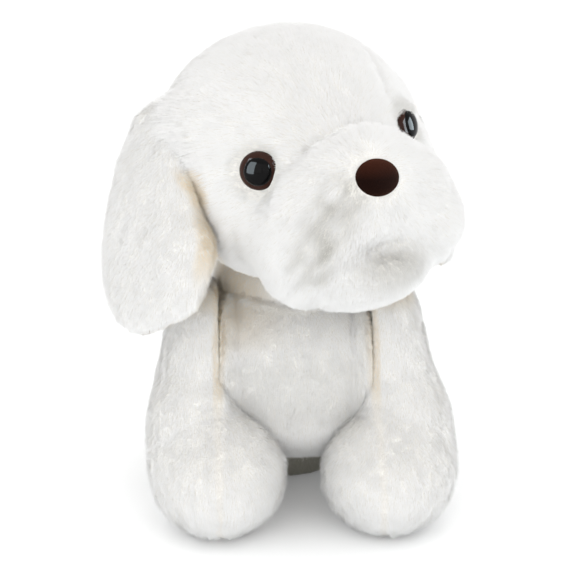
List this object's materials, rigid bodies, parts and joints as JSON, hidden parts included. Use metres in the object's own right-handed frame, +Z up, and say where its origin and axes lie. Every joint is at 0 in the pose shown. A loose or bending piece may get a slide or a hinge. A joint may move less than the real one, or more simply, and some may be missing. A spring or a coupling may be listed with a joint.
{
  "type": "plush dog",
  "caption": "Sitting plush puppy with long hanging ears, a broad muzzle, domed plastic eyes and a flocked nose; soft head, ears, legs and tail move on sewn joints.",
  "frame": {"origin": "middle of the flat seat under the rump, on the surface that the puppy sits on", "axes": "+Z up, -Y the way the body faces, +X the puppy's left"},
  "size_m": [0.1608, 0.2062, 0.218],
  "materials": {
    "plush": "short dense pile",
    "filling": "loose polyester fibre",
    "iris": "polished",
    "pupil": "polished",
    "nose": "flocked",
    "washer": "moulded"
  },
  "bodies": {
    "torso": {"body_cover": "plush", "chest_panel": "plush", "body_filling": "filling"},
    "neck": {"neck_plug": "filling"},
    "head": {"head_cover": "plush", "head_filling": "filling", "muzzle_cover": "plush", "muzzle_filling": "filling", "chin_pad": "plush", "left_eye_iris": "iris", "left_eye_pupil": "pupil", "left_eye_washer": "washer", "right_eye_iris": "iris", "right_eye_pupil": "pupil", "right_eye_washer": "washer", "nose": "nose", "nose_washer": "washer"},
    "tail": {"tail_cover": "plush", "tail_filling": "filling"},
    "left_ear": {"left_ear_outer": "plush", "left_ear_lining": "plush", "left_ear_filling": "filling"},
    "left_front_leg": {"left_front_leg_outer": "plush", "left_front_leg_inner": "plush", "left_front_leg_filling": "filling"},
    "left_hind_leg": {"left_hind_leg_cover": "plush", "left_hind_leg_filling": "filling"},
    "right_ear": {"right_ear_outer": "plush", "right_ear_lining": "plush", "right_ear_filling": "filling"},
    "right_front_leg": {"right_front_leg_outer": "plush", "right_front_leg_inner": "plush", "right_front_leg_filling": "filling"},
    "right_hind_leg": {"right_hind_leg_cover": "plush", "right_hind_leg_filling": "filling"}
  },
  "joints": [
    {"name": "head_turn", "type": "hinge", "parent": "torso", "child": "neck", "pos_m": [0, -0.026, 0.102], "axis": [0, 0, 1], "range_deg": [-15, 15], "stiffness_Nm_per_rad": 2},
    {"name": "head_nod", "type": "hinge", "parent": "neck", "child": "head", "pos_m": [0, -0.026, 0.102], "axis": [1, 0, 0], "range_deg": [-8, 8], "stiffness_Nm_per_rad": 3},
    {"name": "left_ear_lift", "type": "hinge", "parent": "head", "child": "left_ear", "pos_m": [0.03744, -0.00989, 0.20385], "axis": [-0.0134, -0.9903, 0.1385], "range_deg": [0, 60]},
    {"name": "right_ear_lift", "type": "hinge", "parent": "head", "child": "right_ear", "pos_m": [-0.0524, -0.05044, 0.19256], "axis": [-0.7037, 0.7008, -0.1171], "range_deg": [0, 60]},
    {"name": "left_front_leg_swing", "type": "hinge", "parent": "torso", "child": "left_front_leg", "pos_m": [0.048, -0.044, 0.08], "axis": [-1, 0, 0], "range_deg": [0, 35], "stiffness_Nm_per_rad": 0.4},
    {"name": "right_front_leg_swing", "type": "hinge", "parent": "torso", "child": "right_front_leg", "pos_m": [-0.048, -0.044, 0.08], "axis": [-1, 0, 0], "range_deg": [0, 35], "stiffness_Nm_per_rad": 0.4},
    {"name": "left_hind_leg_swing", "type": "hinge", "parent": "torso", "child": "left_hind_leg", "pos_m": [0.044, 0.01, 0.033], "axis": [-1, 0, 0], "range_deg": [-8, 8], "stiffness_Nm_per_rad": 0.4},
    {"name": "right_hind_leg_swing", "type": "hinge", "parent": "torso", "child": "right_hind_leg", "pos_m": [-0.044, 0.01, 0.033], "axis": [-1, 0, 0], "range_deg": [-8, 8], "stiffness_Nm_per_rad": 0.4},
    {"name": "tail_wag", "type": "hinge", "parent": "torso", "child": "tail", "pos_m": [0, 0.052, 0.036], "axis": [0, 0, 1], "range_deg": [-30, 30], "stiffness_Nm_per_rad": 0.08}
  ]
}
